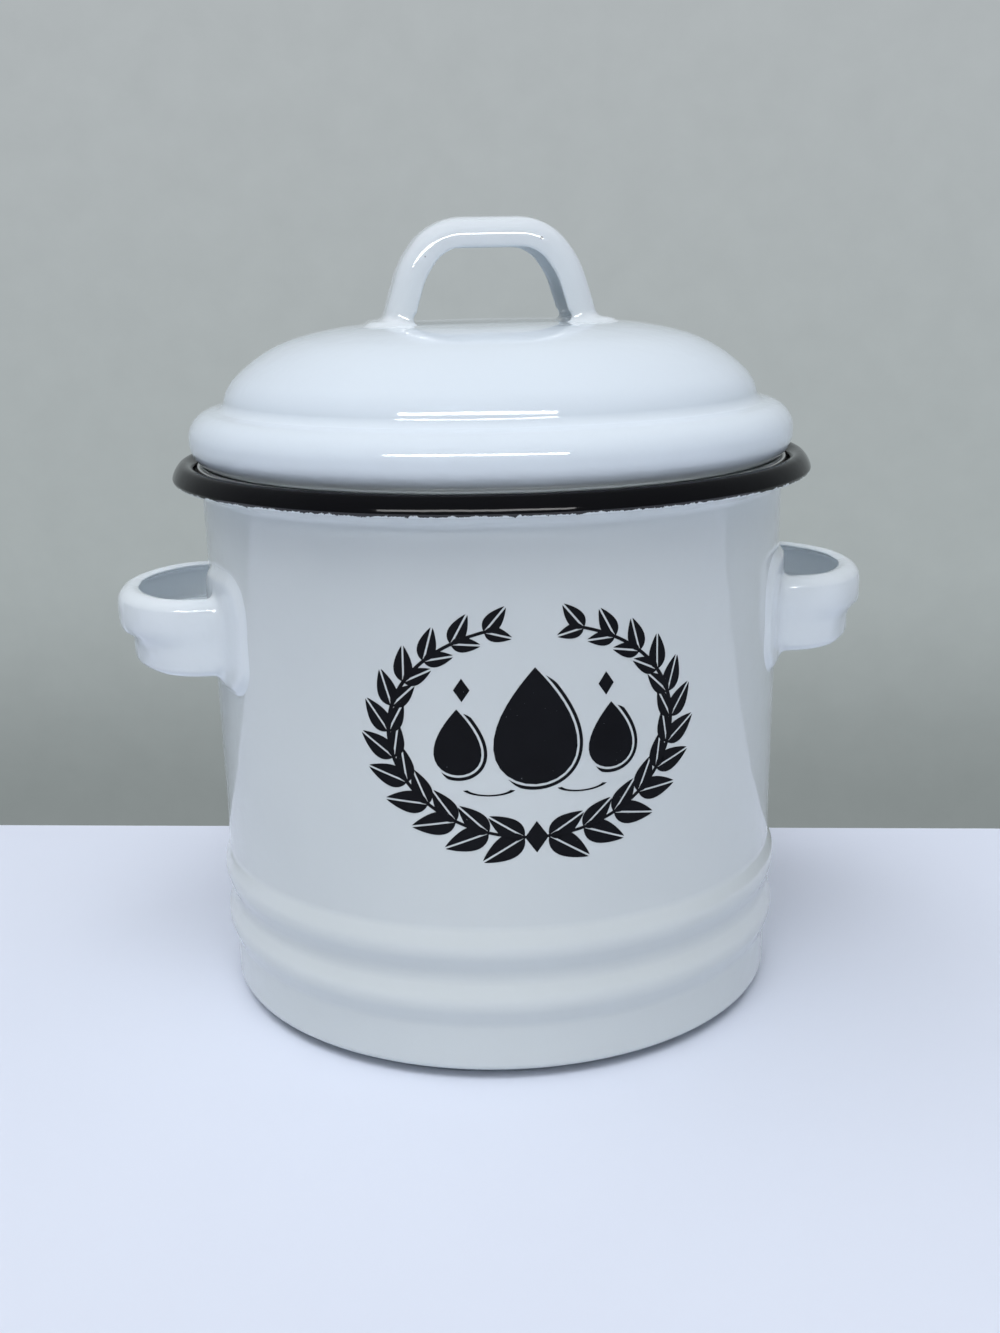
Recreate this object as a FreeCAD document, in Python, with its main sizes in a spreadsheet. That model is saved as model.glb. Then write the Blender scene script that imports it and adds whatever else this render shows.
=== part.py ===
"""Enamelled grease container: a pot with two side handles, a domed lid and a drop-in strainer.

Millimetres, +Z up. The origin is the middle of the underside. The side handles lie on the X axis.
"""

import FreeCAD, Part
import math
import os
import Sketcher

V = FreeCAD.Vector
UP = V(0, 0, 1)

doc = FreeCAD.newDocument("grease_container")
sheet = doc.addObject("Spreadsheet::Sheet", "Sizes")


# ---------------------------------------------------------------- sizes that follow the sheet

class Size:
    """A number together with the sheet expression that it comes from."""

    def __init__(self, number, text):
        self.number = number
        self.text = text

    def __add__(self, other):
        other = as_size(other)
        return Size(self.number + other.number, "(%s + %s)" % (self.text, other.text))

    def __sub__(self, other):
        other = as_size(other)
        return Size(self.number - other.number, "(%s - %s)" % (self.text, other.text))

    def __mul__(self, other):
        other = as_size(other)
        return Size(self.number * other.number, "(%s * %s)" % (self.text, other.text))

    def __truediv__(self, other):
        other = as_size(other)
        return Size(self.number / other.number, "(%s / %s)" % (self.text, other.text))

    def __rsub__(self, other):
        return as_size(other) - self

    def __rtruediv__(self, other):
        return as_size(other) / self

    def __neg__(self):
        return as_size(0) - self

    __radd__ = __add__
    __rmul__ = __mul__


def as_size(value):
    if isinstance(value, Size):
        return value
    return Size(float(value), repr(value))


def tangent(degrees):
    return Size(math.tan(math.radians(degrees.number)), "tan(%s)" % degrees.text)


def cosine(degrees):
    return Size(math.cos(math.radians(degrees.number)), "cos(%s)" % degrees.text)


def square_root(value):
    return Size(math.sqrt(value.number), "sqrt(%s)" % value.text)


aliases = []


def size(alias, number, meaning):
    """Write one driving dimension into the sheet and return it."""
    aliases.append(alias)
    row = len(aliases)
    sheet.set("A%d" % row, meaning)
    sheet.set("B%d" % row, str(number))
    sheet.setAlias("B%d" % row, alias)
    return Size(float(number), "Sizes." + alias)


# pot
mouth_radius = size("mouth_radius", 60.0, "outside of the wall at the crease")
foot_radius = size("foot_radius", 58.7, "outside of the wall, carried down to the underside")
crease_height = size("crease_height", 105.8, "crease below the flared mouth")
steel = size("steel", 1.0, "enamelled steel of the pot")
foot_round = size("foot_round", 4.0, "round from the wall to the underside")
ring_width = size("ring_width", 11.7, "flat ring that the pot stands on, from the wall to the panel's edge")
panel_rise = size("panel_rise", 0.8, "how far that panel is pressed up")
panel_slope = size("panel_slope", 2.0, "width of the slope round that panel")
panel_round = size("panel_round", 3.0, "rounds of that slope")
lower_bead = size("lower_bead", 14.4, "height of the lower bead's crest")
upper_bead = size("upper_bead", 25.3, "height of the upper bead's crest")
bead_half = size("bead_half", 4.5, "half the height of a bead")
bead_swell = size("bead_swell", 1.65, "how far a bead's corner stands out of the wall")
bead_root = size("bead_root", 4.0, "round where a bead leaves the wall")
bead_crest = size("bead_crest", 5.0, "round of a bead's crest")
crease_round = size("crease_round", 1.5, "round of the crease")
flare_angle = size("flare_angle", 33.7, "flare of the mouth, above level")
flare_rise = size("flare_rise", 2.6, "height of the flare")
roll_out = size("roll_out", 3.5, "crown of the rolled rim outside the crease")
roll_up = size("roll_up", 6.4, "corner over that crown, above the crease")
roll_inner = size("roll_inner", 2.4, "inner side of the roll from its crown")
roll_outer = size("roll_outer", 2.45, "outer side of the roll from its crown")
roll_bottom = size("roll_bottom", 4.35, "underside of the roll below that corner")
roll_crown_round = size("roll_crown_round", 1.7, "round over the crown")
roll_face_round = size("roll_face_round", 4.5, "round of the outer face")
roll_under_round = size("roll_under_round", 0.9, "round under the outer face")

# strainer
strainer_steel = size("strainer_steel", 0.6, "stainless steel of the strainer cup")
seat_gap = size("seat_gap", 0.3, "clearance wherever a loose piece sits on its seat")
cup_gap = size("cup_gap", 2.6, "between the strainer cup's top and the wall")
cup_draft = size("cup_draft", 3.05, "how much narrower the cup is at its floor")
cup_floor = size("cup_floor", 80.0, "height of the strainer's floor")
ledge_width = size("ledge_width", 4.35, "ledge that carries the perforated disc")
collar_gap = size("collar_gap", 0.95, "between the upright collar and the rolled rim")
collar_drop = size("collar_drop", 1.1, "top of the collar below the corner over the rim's crown")
curl_radius = size("curl_radius", 0.8, "curled edge of the collar")
cup_floor_round = size("cup_floor_round", 1.5, "round from the cup's wall to its ledge")
cup_flare_round = size("cup_flare_round", 1.0, "round from the cup's wall to its cone")
cup_collar_round = size("cup_collar_round", 1.2, "round from the cone to the collar")
screen_thick = size("screen_thick", 0.5, "perforated disc")
screen_gap = size("screen_gap", 0.95, "between the disc's edge and the cup's wall")
hole_radius = size("hole_radius", 1.4, "one hole of the perforated disc")
hole_pitch = size("hole_pitch", 8.4, "from one ring of holes to the next")
clamp_width = size("clamp_width", 2.3, "ring that clamps the disc")
clamp_height = size("clamp_height", 1.2, "height of the clamping ring")
clamp_round = size("clamp_round", 0.5, "upper edges of the clamping ring")
HOLE_RINGS = 5

# lid
lid_steel = size("lid_steel", 0.9, "enamelled steel of the lid")
skirt_gap = size("skirt_gap", 0.9, "between the lid's skirt and the strainer cup")
skirt_drop = size("skirt_drop", 5.6, "how far the skirt reaches below its seat")
brim_out = size("brim_out", 2.0, "lid bead outside the crease of the pot")
brim_height = size("brim_height", 9.5, "upper corner of the lid bead above the seat")
waist_height = size("waist_height", 10.8, "waist above the seat")
waist_inset = size("waist_inset", 5.1, "waist inside the crease of the pot")
shoulder_height = size("shoulder_height", 14.9, "shoulder of the dome above the seat")
shoulder_inset = size("shoulder_inset", 5.9, "shoulder inside the crease of the pot")
slope_height = size("slope_height", 22.15, "foot of the dome's upper slope above the seat")
slope_inset = size("slope_inset", 13.85, "foot of the upper slope inside the crease")
crown_height = size("crown_height", 26.35, "flat top of the lid above the seat")
crown_inset = size("crown_inset", 28.05, "corner of the flat top inside the crease")
crown_round = size("crown_round", 51.9, "round from the flat top to the upper slope")
slope_round = size("slope_round", 24.7, "round from the upper to the lower slope")
shoulder_round = size("shoulder_round", 7.5, "round of the shoulder")
waist_round = size("waist_round", 2.2, "round in the waist")
brim_round = size("brim_round", 5.1, "upper round of the lid bead")
brim_under_round = size("brim_under_round", 5.0, "lower round of the lid bead")
skirt_round = size("skirt_round", 1.2, "round from the seat to the skirt")

# side handles
strap_steel = size("strap_steel", 1.0, "steel of the side handles")
strap_low = size("strap_low", 70.9, "lower edge of the handle")
strap_height = size("strap_height", 15.7, "height of the handle")
grip_height = size("grip_height", 9.0, "height of the grip, above the step to the skirt")
grip_reach = size("grip_reach", 19.2, "front of the grip outside the wall")
grip_depth = size("grip_depth", 4.0, "depth of the grip's channel")
grip_corner = size("grip_corner", 3.2, "upper corner of the grip's channel")
step_corner = size("step_corner", 2.0, "lower corner of the grip's channel")
skirt_inset = size("skirt_inset", 3.0, "skirt behind the grip, at the front")
lip_depth = size("lip_depth", 3.4, "turned-in lip under the skirt")
lip_corner = size("lip_corner", 2.4, "corner from the skirt to its lip")
strap_half = size("strap_half", 23.4, "half the width over the legs")
tip_half = size("tip_half", 9.6, "half the straight front of the loop, to its corner")
tip_round = size("tip_round", 26.0, "round of that corner")
leg_run = size("leg_run", 10.6, "from the loop's front to the corner of a leg")
leg_round = size("leg_round", 14.0, "round of that corner")
leg_inset = size("leg_inset", 0.3, "skirt inside the grip, at the legs")
foot_plate = size("foot_plate", 1.2, "thickness of a handle's foot on the wall")
foot_angle = size("foot_angle", 21.0, "how far round the wall a foot reaches")
foot_turn_angle = size("foot_turn_angle", 20.5, "middle of a foot from the handle's axis")
foot_drop = size("foot_drop", 1.9, "foot below the handle's lower edge")
foot_tall = size("foot_tall", 22.6, "height of a foot")
foot_corner = size("foot_corner", 6.0, "corners of a foot")

# lid handle
arch_steel = size("arch_steel", 1.0, "steel of the lid handle")
arch_rise = size("arch_rise", 21.05, "top of the arch above the lid's flat top")
arch_width = size("arch_width", 19.0, "width of the channel")
arch_depth = size("arch_depth", 6.2, "depth of the channel's lips")
arch_corner = size("arch_corner", 4.2, "corner of the channel's section")
arch_crown = size("arch_crown", 0.7, "how far the channel's back is crowned")
arch_top_half = size("arch_top_half", 12.2, "half the level top, to its corner")
arch_knee_half = size("arch_knee_half", 18.6, "half the width at the knee")
arch_knee_drop = size("arch_knee_drop", 8.8, "knee below the top")
arch_foot_half = size("arch_foot_half", 22.7, "half the width at the feet")
arch_top_round = size("arch_top_round", 13.0, "round from the level top to the slope")
arch_knee_round = size("arch_knee_round", 20.0, "round of the knee")
arch_back_round = size("arch_back_round", 40.0, "round of the channel's crowned back")
pad_thick = size("pad_thick", 0.9, "foot plate of the lid handle")
pad_inner = size("pad_inner", 15.8, "inner end of a foot plate")
pad_outer = size("pad_outer", 24.9, "outer end of a foot plate")
pad_width = size("pad_width", 21.0, "width of a foot plate")
pad_corner = size("pad_corner", 4.0, "corners of a foot plate")

doc.recompute()


# ---------------------------------------------------------------- sizes worked out from others

def wall_radius(height):
    """Outside of the pot's wall at a height."""
    return foot_radius + (mouth_radius - foot_radius) * height / crease_height


def flare_height(radius, inward):
    """Height of the flare's cone at a radius, moved inward by a thickness."""
    return crease_height + (radius - mouth_radius) * tangent(flare_angle) + inward / cosine(flare_angle)


roll_crown_radius = mouth_radius + roll_out
roll_crown_height = crease_height + roll_up
collar_radius = roll_crown_radius - roll_inner - collar_gap
collar_top = roll_crown_height - collar_drop
cup_top_radius = mouth_radius - steel - cup_gap
cup_low_radius = cup_top_radius - cup_draft
screen_bottom = cup_floor + strainer_steel
screen_top = screen_bottom + screen_thick
screen_radius = cup_low_radius - strainer_steel - screen_gap
lid_seat = collar_top + seat_gap
curl_middle = collar_radius - strainer_steel / 2
brim_middle = mouth_radius + brim_out - brim_under_round
brim_reach = brim_under_round + seat_gap + curl_radius
brim_over = square_root(brim_reach * brim_reach - (brim_middle - curl_middle) * (brim_middle - curl_middle))
brim_low = collar_top - curl_radius + brim_over - brim_under_round
skirt_radius = cup_top_radius - strainer_steel - skirt_gap
lid_top = lid_seat + crown_height
strap_top = strap_low + strap_height
grip_front = wall_radius(strap_low + strap_height / 2) + grip_reach
skirt_front = grip_front - skirt_inset
foot_low = strap_low - foot_drop
foot_high = foot_low + foot_tall
leg_end = grip_front - grip_reach - strap_half / 2


# ---------------------------------------------------------------- drawing

def new_body(name):
    body = doc.addObject("PartDesign::Body", name)
    body.Label = name
    body.Placement = FreeCAD.Placement()
    return body


def bind(thing, prop, value):
    """Set a property and tie it to the sheet."""
    value = as_size(value)
    setattr(thing, prop, value.number)
    thing.setExpression(prop, value.text)


def new_sketch(body, name, role, height=None):
    """A sketch on one of the body's own origin planes, or at a height above it."""
    sketch = body.newObject("Sketcher::SketchObject", name)
    plane = [p for p in body.Origin.OriginFeatures if p.Role == role][0]
    sketch.AttachmentSupport = [(plane, "")]
    sketch.MapMode = "FlatFace"
    if height is not None:
        sketch.setExpression("AttachmentOffset.Base.z", as_size(height).text)
    return sketch


def constrain(sketch, plain, sized):
    """Add the constraints; each sized one is (kind, arguments, value) and follows the sheet."""
    made = [Sketcher.Constraint(*arguments) for arguments in plain]
    made += [Sketcher.Constraint(*arguments, value.number) for arguments, value in sized]
    indexes = sketch.addConstraint(made)
    for index, (arguments, value) in zip(indexes[len(plain):], sized):
        sketch.setExpression("Constraints[%d]" % index, value.text)


def pinned(geometry, position, x, y):
    """Distances of a point from the sketch's origin."""
    return [(("DistanceX", -1, 1, geometry, position), as_size(x)),
            (("DistanceY", -1, 1, geometry, position), as_size(y))]


def outline(sketch, corners, closed=True):
    """Lines from corner to corner; a corner (x, y, radius) is rounded, a corner (x, y) is sharp."""
    count = len(corners)
    points = [V(as_size(c[0]).number, as_size(c[1]).number, 0) for c in corners]
    arrive = list(points)
    leave = list(points)
    arcs = {}
    for i, corner in enumerate(corners):
        if len(corner) == 2:
            continue
        radius = as_size(corner[2]).number
        back = (points[i - 1] - points[i]).normalize()
        ahead = (points[(i + 1) % count] - points[i]).normalize()
        half_turn = (math.pi - back.getAngle(ahead)) / 2
        arrive[i] = points[i] + back * (radius * math.tan(half_turn))
        leave[i] = points[i] + ahead * (radius * math.tan(half_turn))
        middle = points[i] + (back + ahead).normalize() * (radius / math.cos(half_turn))
        turns_left = back.cross(ahead).z < 0
        first, last = (arrive[i], leave[i]) if turns_left else (leave[i], arrive[i])
        angles = [math.atan2(p.y - middle.y, p.x - middle.x) for p in (first, last)]
        arcs[i] = (Part.ArcOfCircle(Part.Circle(middle, UP, radius), *angles), turns_left)

    lines = count if closed else count - 1
    for i in range(lines):
        sketch.addGeometry(Part.LineSegment(leave[i], arrive[(i + 1) % count]))
    plain = []
    sized = []
    for i, corner in enumerate(corners):
        before = (i - 1) % count
        if i in arcs:
            arc, turns_left = arcs[i]
            into, out = (1, 2) if turns_left else (2, 1)
            bend = sketch.addGeometry(arc)
            apex = sketch.addGeometry(Part.Point(points[i]), True)
            plain += [("Tangent", before, 2, bend, into), ("Tangent", bend, out, i, 1)]
            plain += [("PointOnObject", apex, 1, before), ("PointOnObject", apex, 1, i)]
            sized += pinned(apex, 1, corner[0], corner[1])
            sized += [(("Radius", bend), as_size(corner[2]))]
        elif i == lines:
            sized += pinned(before, 2, corner[0], corner[1])
        else:
            if closed or i > 0:
                plain += [("Coincident", before, 2, i, 1)]
            sized += pinned(i, 1, corner[0], corner[1])
    constrain(sketch, plain, sized)
    return sketch


def circle(sketch, x, y, radius):
    x, y, radius = as_size(x), as_size(y), as_size(radius)
    ring = sketch.addGeometry(Part.Circle(V(x.number, y.number, 0), UP, radius.number))
    constrain(sketch, [], pinned(ring, 3, x, y) + [(("Radius", ring), radius)])
    return sketch


# ---------------------------------------------------------------- features

def turned(body, kind, name, sketch, angle=360):
    """Revolution or Groove of a sketch about its own vertical axis."""
    feature = body.newObject("PartDesign::" + kind, name)
    feature.Profile = sketch
    feature.ReferenceAxis = (sketch, ["V_Axis"])
    bind(feature, "Angle", angle)
    feature.Midplane = as_size(angle).number < 360
    return feature


def raised(body, name, sketch, length):
    feature = body.newObject("PartDesign::Pad", name)
    feature.Profile = sketch
    bind(feature, "Length", length)
    return feature


def cut_down(body, name, sketch, length):
    """Pocket that cuts from the sketch down along -Z."""
    feature = body.newObject("PartDesign::Pocket", name)
    feature.Profile = sketch
    bind(feature, "Length", length)
    return feature


def swept(body, name, profile, path):
    feature = body.newObject("PartDesign::AdditivePipe", name)
    feature.Profile = profile
    feature.Spine = (path, ["Edge%d" % (i + 1) for i in range(len(path.Shape.Edges))])
    return feature


def hollowed(body, name, solid, at_top, thickness):
    """Shell a solid of revolution inward and leave its highest or lowest face open."""
    doc.recompute()
    heights = [face.CenterOfMass.z for face in solid.Shape.Faces]
    open_end = max(heights) if at_top else min(heights)
    feature = body.newObject("PartDesign::Thickness", name)
    feature.Base = (solid, ["Face%d" % (heights.index(open_end) + 1)])
    feature.Reversed = True
    bind(feature, "Value", thickness)
    return feature


def rounded_edges(body, name, solid, radius, chosen):
    """Fillet every edge of the body so far that chosen(edge) picks."""
    doc.recompute()
    edges = ["Edge%d" % (i + 1) for i, edge in enumerate(solid.Shape.Edges) if chosen(edge)]
    feature = body.newObject("PartDesign::Fillet", name)
    feature.Base = (solid, edges)
    bind(feature, "Radius", radius)
    return feature


def mirrored(body, name, role):
    """Mirror the whole body so far about one of its origin planes."""
    feature = body.newObject("PartDesign::Mirrored", name)
    feature.TransformMode = "Whole shape"
    plane = [p for p in body.Origin.OriginFeatures if p.Role == role][0]
    feature.MirrorPlane = (plane, [""])
    body.Tip = feature
    return feature


# ---------------------------------------------------------------- pot

def bead_corners(height):
    """A round bead pressed out of the wall."""
    return [(wall_radius(height - bead_half), height - bead_half, bead_root),
            (wall_radius(height) + bead_swell, height, bead_crest),
            (wall_radius(height + bead_half), height + bead_half, bead_root)]


def roll_corners():
    """The rolled rim's section: a flat-sided roll, steeper outside than over its crown."""
    inner = roll_crown_radius - roll_inner
    outer = roll_crown_radius + roll_outer
    bottom = roll_crown_height - roll_bottom
    mouth_height = crease_height + flare_rise
    face_lean = roll_outer / 5
    face_height = bottom + roll_bottom / 2
    inner_height = roll_crown_height - roll_bottom / 3
    return [(roll_crown_radius - roll_inner / 3, mouth_height - flare_rise / 3),
            (outer, bottom, roll_under_round),
            (outer - face_lean, face_height, roll_face_round),
            (roll_crown_radius, roll_crown_height, roll_crown_round),
            (inner, inner_height, roll_crown_round),
            (inner + roll_inner / 10, mouth_height - flare_rise / 5)]


def pot_body():
    """One drawn sheet: raised panel underneath, two beads, flared mouth and a rolled rim."""
    body = new_body("pot_body")
    mouth_height = crease_height + flare_rise
    corners = [(0, panel_rise),
               (foot_radius - ring_width, panel_rise, panel_round),
               (foot_radius - ring_width + panel_slope, 0, panel_round),
               (foot_radius, 0, foot_round)]
    corners += bead_corners(lower_bead) + bead_corners(upper_bead)
    corners += [(mouth_radius, crease_height, crease_round),
                (mouth_radius + flare_rise / tangent(flare_angle), mouth_height),
                (0, mouth_height)]
    outside = outline(new_sketch(body, "pot_outside", "XZ_Plane"), corners)
    hollowed(body, "pot_sheet", turned(body, "Revolution", "pot_solid", outside), True, steel)
    section = outline(new_sketch(body, "roll_section", "XZ_Plane"), roll_corners())
    turned(body, "Revolution", "rolled_rim", section)
    return body


# ---------------------------------------------------------------- side handles

def wall_foot(body):
    """A rounded plate on the wall, at the end of one leg."""
    sketch = new_sketch(body, "foot_section", "XZ_Plane")
    outline(sketch, [(wall_radius(foot_low), foot_low), (wall_radius(foot_low) + foot_plate, foot_low),
                     (wall_radius(foot_high) + foot_plate, foot_high), (wall_radius(foot_high), foot_high)])
    sketch.AttachmentOffset = FreeCAD.Placement(V(0, 0, 0), V(0, 1, 0), foot_turn_angle.number)
    sketch.setExpression("AttachmentOffset.Rotation.Angle", foot_turn_angle.text)
    plate = turned(body, "Revolution", "foot_plate", sketch, foot_angle)

    def across_the_plate(edge):
        return isinstance(edge.Curve, Part.Line) and edge.Length < 1.5 * foot_plate.number
    return rounded_edges(body, "foot_corners", plate, foot_corner, across_the_plate)


def grip_channel(body):
    """Half of the grip: a channel, open towards the pot, swept from the front round into the wall."""
    inner = grip_front - grip_depth
    step = strap_top - grip_height
    back = grip_front - strap_steel
    section = outline(new_sketch(body, "grip_section", "XZ_Plane"),
                      [(inner, step), (grip_front, step, step_corner),
                       (grip_front, strap_top, grip_corner), (inner, strap_top),
                       (inner, strap_top - strap_steel),
                       (back, strap_top - strap_steel, grip_corner - strap_steel),
                       (back, step + strap_steel, step_corner - strap_steel),
                       (inner, step + strap_steel)])
    path = outline(new_sketch(body, "grip_path", "XY_Plane", strap_top),
                   [(grip_front, 0), (grip_front, tip_half, tip_round),
                    (grip_front - leg_run, strap_half, leg_round), (leg_end, strap_half)],
                   closed=False)
    return swept(body, "half_grip", section, path)


def skirt_channel(body):
    """Half of the set-back skirt under the grip, with its turned-in lip."""
    inner = skirt_front - lip_depth
    step = strap_top - grip_height
    back = skirt_front - strap_steel
    side = strap_half - leg_inset
    section = outline(new_sketch(body, "skirt_section", "XZ_Plane"),
                      [(inner, strap_low), (skirt_front, strap_low, lip_corner),
                       (skirt_front, step + strap_steel / 2), (back, step + strap_steel / 2),
                       (back, strap_low + strap_steel, lip_corner - strap_steel),
                       (inner, strap_low + strap_steel)])
    path = outline(new_sketch(body, "skirt_path", "XY_Plane", strap_low),
                   [(skirt_front, 0), (skirt_front, tip_half - leg_inset, tip_round - skirt_inset),
                    (grip_front - leg_run - skirt_inset / 3, side, leg_round - strap_steel),
                    (leg_end, side)],
                   closed=False)
    return swept(body, "half_skirt", section, path)


def side_handle(name, turn):
    """A stepped channel bent into a D, on two feet, and cut off where it meets the wall."""
    body = new_body(name)
    wall_foot(body)
    grip_channel(body)
    skirt_channel(body)
    mirrored(body, "both_legs", "XZ_Plane")
    inside_of_wall = outline(new_sketch(body, "inside_of_wall", "XZ_Plane"),
                             [(0, 0), (foot_radius, 0), (mouth_radius, crease_height), (0, crease_height)])
    turned(body, "Groove", "trimmed_to_wall", inside_of_wall)
    body.Placement = FreeCAD.Placement(V(0, 0, 0), UP, turn)
    return body


# ---------------------------------------------------------------- lid

def lid_corners():
    """The outside of the lid, from the middle of its top down to the skirt's open end."""
    return [(0, lid_top),
            (mouth_radius - crown_inset, lid_top, crown_round),
            (mouth_radius - slope_inset, lid_seat + slope_height, slope_round),
            (mouth_radius - shoulder_inset, lid_seat + shoulder_height, shoulder_round),
            (mouth_radius - waist_inset, lid_seat + waist_height, waist_round),
            (mouth_radius + brim_out, lid_seat + brim_height, brim_round),
            (mouth_radius + brim_out, brim_low, brim_under_round),
            (skirt_radius, brim_low, skirt_round),
            (skirt_radius, lid_seat - skirt_drop),
            (0, lid_seat - skirt_drop)]


def lid_shell():
    """Domed lid with a waist, a fat bead that rests on the rim's collar, and a skirt inside it."""
    body = new_body("lid_shell")
    outside = outline(new_sketch(body, "lid_outside", "XZ_Plane"), lid_corners())
    hollowed(body, "lid_sheet", turned(body, "Revolution", "lid_solid", outside), False, lid_steel)
    return body


def arch_half(body):
    """Half of the arch: a crowned channel, open below, swept from the top down into the lid."""
    top = lid_top + arch_rise
    low = top - arch_depth
    side = arch_width / 2
    edge = top - arch_crown
    section = outline(new_sketch(body, "arch_section", "YZ_Plane"),
                      [(-side, low), (arch_steel - side, low),
                       (arch_steel - side, edge - arch_steel, arch_corner - arch_steel),
                       (0, top - arch_steel, arch_back_round),
                       (side - arch_steel, edge - arch_steel, arch_corner - arch_steel),
                       (side - arch_steel, low), (side, low),
                       (side, edge, arch_corner), (0, top, arch_back_round), (-side, edge, arch_corner)])
    path = outline(new_sketch(body, "arch_path", "XZ_Plane"),
                   [(0, top), (arch_top_half, top, arch_top_round),
                    (arch_knee_half, top - arch_knee_drop, arch_knee_round),
                    (arch_foot_half, lid_top - lid_steel)],
                   closed=False)
    return swept(body, "half_arch", section, path)


def lid_handle():
    """A pressed channel bent into an arch; each leg stands on a foot plate on the lid's flat top."""
    body = new_body("lid_handle")
    plate = outline(new_sketch(body, "foot_outline", "XY_Plane", lid_top),
                    [(pad_inner, -pad_width / 2, pad_corner), (pad_outer, -pad_width / 2, pad_corner),
                     (pad_outer, pad_width / 2, pad_corner), (pad_inner, pad_width / 2, pad_corner)])
    raised(body, "foot_plate", plate, pad_thick)
    arch_half(body)
    mirrored(body, "both_legs", "YZ_Plane")
    lid_outside = outline(new_sketch(body, "lid_outside", "XZ_Plane"), lid_corners())
    turned(body, "Groove", "trimmed_to_lid", lid_outside)
    return body


# ---------------------------------------------------------------- strainer

def strainer_cup():
    """Spun cup: a ledge for the screen, a tapered wall, a cone that seats in the flare, a curled collar."""
    body = new_body("strainer_cup")
    thick = strainer_steel
    seat = steel + seat_gap
    inner_top = cup_top_radius - thick
    inner_low = cup_low_radius - thick
    inner_collar = collar_radius - thick
    curl_level = collar_top - curl_radius
    corners = [(cup_low_radius - ledge_width, cup_floor),
               (cup_low_radius, cup_floor, cup_floor_round),
               (cup_top_radius, flare_height(cup_top_radius, seat), cup_flare_round),
               (collar_radius, flare_height(collar_radius, seat), cup_collar_round),
               (collar_radius, curl_level),
               (inner_collar, curl_level),
               (inner_collar, flare_height(inner_collar, seat + thick), cup_collar_round - thick),
               (inner_top, flare_height(inner_top, seat + thick), cup_flare_round + thick),
               (inner_low, cup_floor + thick, cup_floor_round - thick),
               (cup_low_radius - ledge_width, cup_floor + thick)]
    sheet_profile = outline(new_sketch(body, "cup_section", "XZ_Plane"), corners)
    turned(body, "Revolution", "cup_sheet", sheet_profile)
    curl_sketch = new_sketch(body, "curl_section", "XZ_Plane")
    curl = circle(curl_sketch, curl_middle, curl_level, curl_radius)
    turned(body, "Revolution", "curled_edge", curl)
    return body


def hole_ring(body, ring):
    """One ring of holes: six more for each ring outward."""
    sketch = new_sketch(body, "hole_%d" % ring, "XY_Plane", screen_top)
    circle(sketch, ring * hole_pitch, 0, hole_radius)
    hole = cut_down(body, "cut_%d" % ring, sketch, 2 * screen_thick)
    doc.recompute()
    pattern = body.newObject("PartDesign::PolarPattern", "ring_%d" % ring)
    pattern.Originals = [hole]
    axis = [line for line in body.Origin.OriginFeatures if line.Role == "Z_Axis"][0]
    pattern.Axis = (axis, [""])
    pattern.Angle = 360
    pattern.Occurrences = 6 * ring
    body.Tip = pattern
    doc.recompute()


def strainer_screen():
    """Perforated disc that lies on the cup's ledge."""
    body = new_body("strainer_screen")
    disc = circle(new_sketch(body, "disc", "XY_Plane", screen_bottom), 0, 0, screen_radius)
    raised(body, "plate", disc, screen_thick)
    middle = circle(new_sketch(body, "middle_hole", "XY_Plane", screen_top), 0, 0, hole_radius)
    cut_down(body, "cut_middle", middle, 2 * screen_thick)
    for ring in range(1, HOLE_RINGS + 1):
        hole_ring(body, ring)
    return body


def screen_ring():
    """Ring that clamps the screen on the ledge."""
    body = new_body("screen_ring")
    inner = screen_radius - clamp_width
    top = screen_top + clamp_height
    section = outline(new_sketch(body, "ring_section", "XZ_Plane"),
                      [(inner, screen_top), (screen_radius, screen_top),
                       (screen_radius, top, clamp_round), (inner, top, clamp_round)])
    turned(body, "Revolution", "ring", section)
    return body


# ---------------------------------------------------------------- build and export

def failed_objects():
    return [o.Name for o in doc.Objects if "Invalid" in o.State or "Error" in o.State]


def export(bodies):
    doc.recompute()
    broken = failed_objects()
    broken += [b.Label for b in bodies if b.Shape.isNull() or not b.Shape.isValid()]
    if broken:
        raise RuntimeError("failed: " + ", ".join(broken))
    os.makedirs("parts", exist_ok=True)
    for body in bodies:
        body.Shape.exportStep("parts/%s.step" % body.Label)
        print(body.Label, len(body.Shape.Solids), "solid", round(body.Shape.Volume, 1), "mm3")


export([pot_body(), side_handle("left_handle", 180), side_handle("right_handle", 0),
        lid_shell(), lid_handle(), strainer_cup(), strainer_screen(), screen_ring()])
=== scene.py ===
"""White enamelled grease container with a black rolled rim, two side handles, a domed lid and a strainer.

Sizes are in millimetres in the part's frame: +Z up, +X towards the right side handle, -Y towards the front.
"""
import math

import bmesh
import bpy
from mathutils import Matrix, Vector


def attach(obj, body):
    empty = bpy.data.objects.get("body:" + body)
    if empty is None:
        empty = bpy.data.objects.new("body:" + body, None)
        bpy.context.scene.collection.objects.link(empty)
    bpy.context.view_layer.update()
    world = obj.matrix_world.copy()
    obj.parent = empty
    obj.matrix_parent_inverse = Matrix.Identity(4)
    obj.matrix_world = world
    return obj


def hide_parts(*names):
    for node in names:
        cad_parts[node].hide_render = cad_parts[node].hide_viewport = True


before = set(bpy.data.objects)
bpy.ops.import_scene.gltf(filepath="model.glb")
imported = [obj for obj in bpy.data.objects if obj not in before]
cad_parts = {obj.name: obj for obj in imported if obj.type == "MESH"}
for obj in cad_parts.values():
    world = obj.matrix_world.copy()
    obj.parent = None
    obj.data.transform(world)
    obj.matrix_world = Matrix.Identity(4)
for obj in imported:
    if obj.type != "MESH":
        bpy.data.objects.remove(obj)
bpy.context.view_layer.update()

MM = 0.001

# ---------------------------------------------------------------- sizes

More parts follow.
